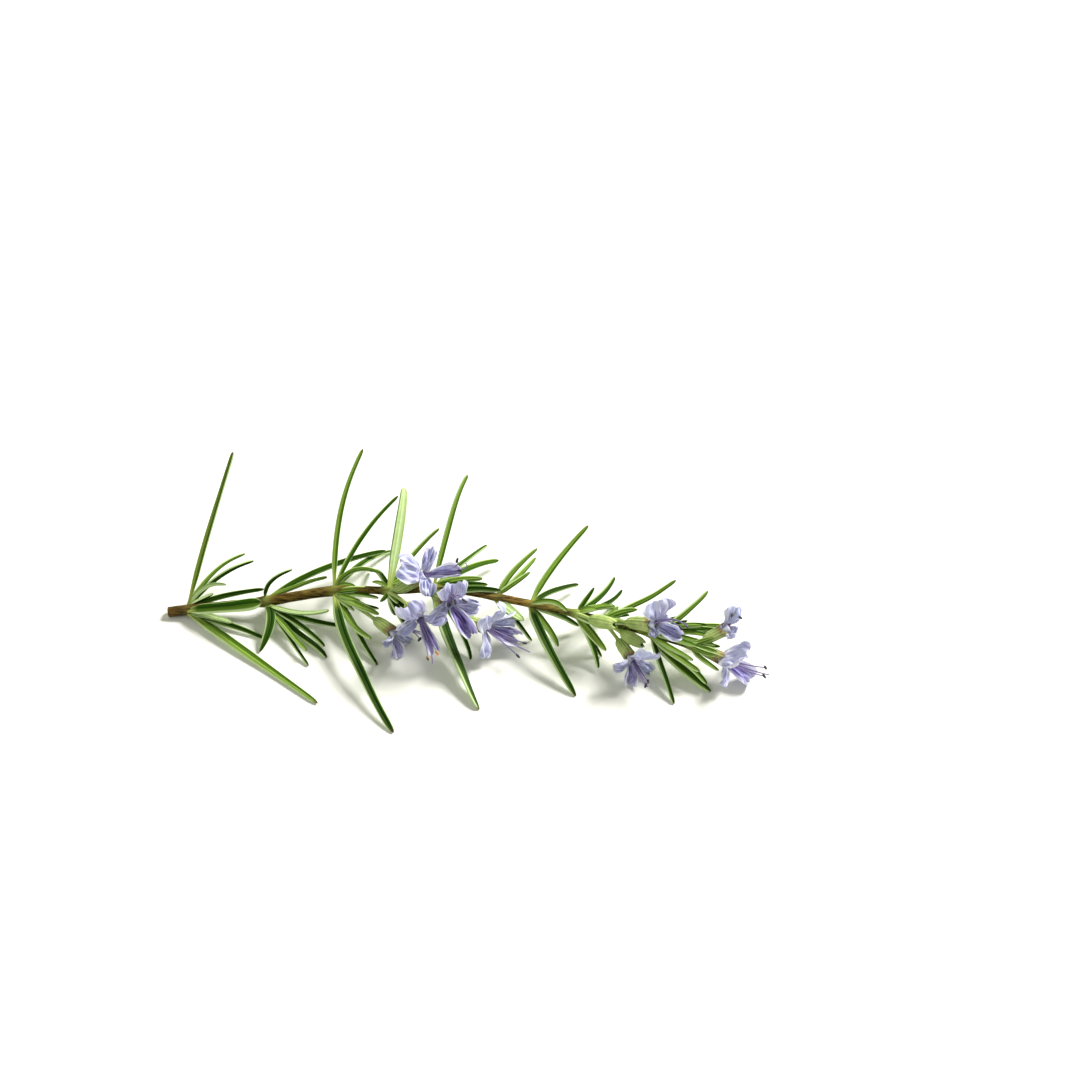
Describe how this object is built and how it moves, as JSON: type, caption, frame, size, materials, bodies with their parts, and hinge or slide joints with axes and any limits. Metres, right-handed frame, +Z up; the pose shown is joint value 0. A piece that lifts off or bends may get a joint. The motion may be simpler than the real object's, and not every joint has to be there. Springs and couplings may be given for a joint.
{
  "type": "rosemary sprig",
  "caption": "Cut sprig of flowering rosemary lying on its side, with a woody stem, needle leaves in whorls and lilac two-lipped flowers.",
  "frame": {"origin": "centre of the bounding box in X and Y, on the surface that the sprig lies on", "axes": "+X along the stem from its cut end to the shoot tip, +Y to the far side in the picture, +Z up"},
  "size_m": [0.1552, 0.0725, 0.0309],
  "materials": {
    "stem_bark": "dull brown-green bark with fine ridges",
    "leaf_green": "waxy dark green above, pale felt below",
    "petal_lilac": "thin lilac petals with violet streaks"
  },
  "bodies": {
    "root": {"stem": "stem_bark", "leaf_whorl_0": "leaf_green", "leaf_whorl_1": "leaf_green", "leaf_whorl_2": "leaf_green", "leaf_whorl_3": "leaf_green", "leaf_whorl_4": "leaf_green", "leaf_whorl_5": "leaf_green", "leaf_whorl_6": "leaf_green", "leaf_whorl_7": "leaf_green", "leaf_whorl_8": "leaf_green", "leaf_whorl_9": "leaf_green", "shoot_tip": "leaf_green", "corolla_1": "petal_lilac", "corolla_2": "petal_lilac", "corolla_3": "petal_lilac", "corolla_4": "petal_lilac", "corolla_5": "petal_lilac", "corolla_6": "petal_lilac", "corolla_7": "petal_lilac", "corolla_8": "petal_lilac", "corolla_9": "petal_lilac"}
  },
  "joints": []
}
